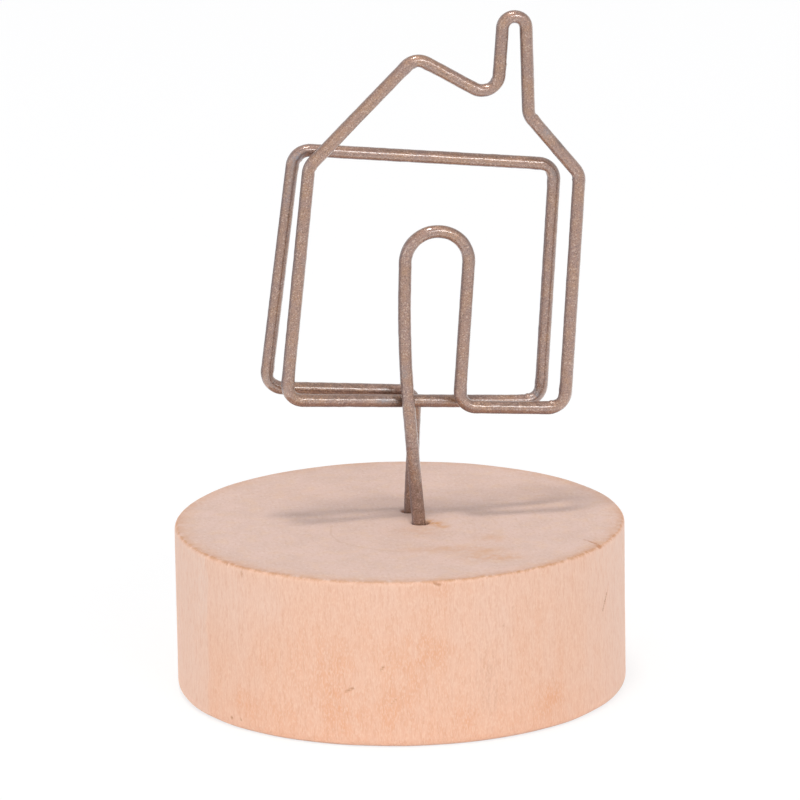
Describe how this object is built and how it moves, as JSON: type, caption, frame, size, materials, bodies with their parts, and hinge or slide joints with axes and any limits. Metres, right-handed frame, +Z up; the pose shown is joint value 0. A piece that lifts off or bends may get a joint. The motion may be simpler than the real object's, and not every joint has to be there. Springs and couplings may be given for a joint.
{
  "type": "paper holder stand",
  "caption": "Round wooden base with a bent wire clip in the outline of a small house, which holds a card or note upright between its front outline and its rear frame.",
  "frame": {"origin": "centre of the base's underside, on the surface that the stand rests on", "axes": "+Z up through the base, -Y the side that the house outline faces, +X to the right as seen from the front, towards the chimney"},
  "size_m": [0.04, 0.04, 0.061],
  "materials": {
    "wood": "pale close-grained hardwood, sanded and left bare",
    "wire": "steel wire with a satin antique bronze coating that sparkles finely",
    "glue": "set amber glue, hidden in the holes"
  },
  "bodies": {
    "root": {"wooden_base": "wood", "house_wire": "wire", "front_glue": "glue", "rear_glue": "glue"}
  },
  "joints": []
}
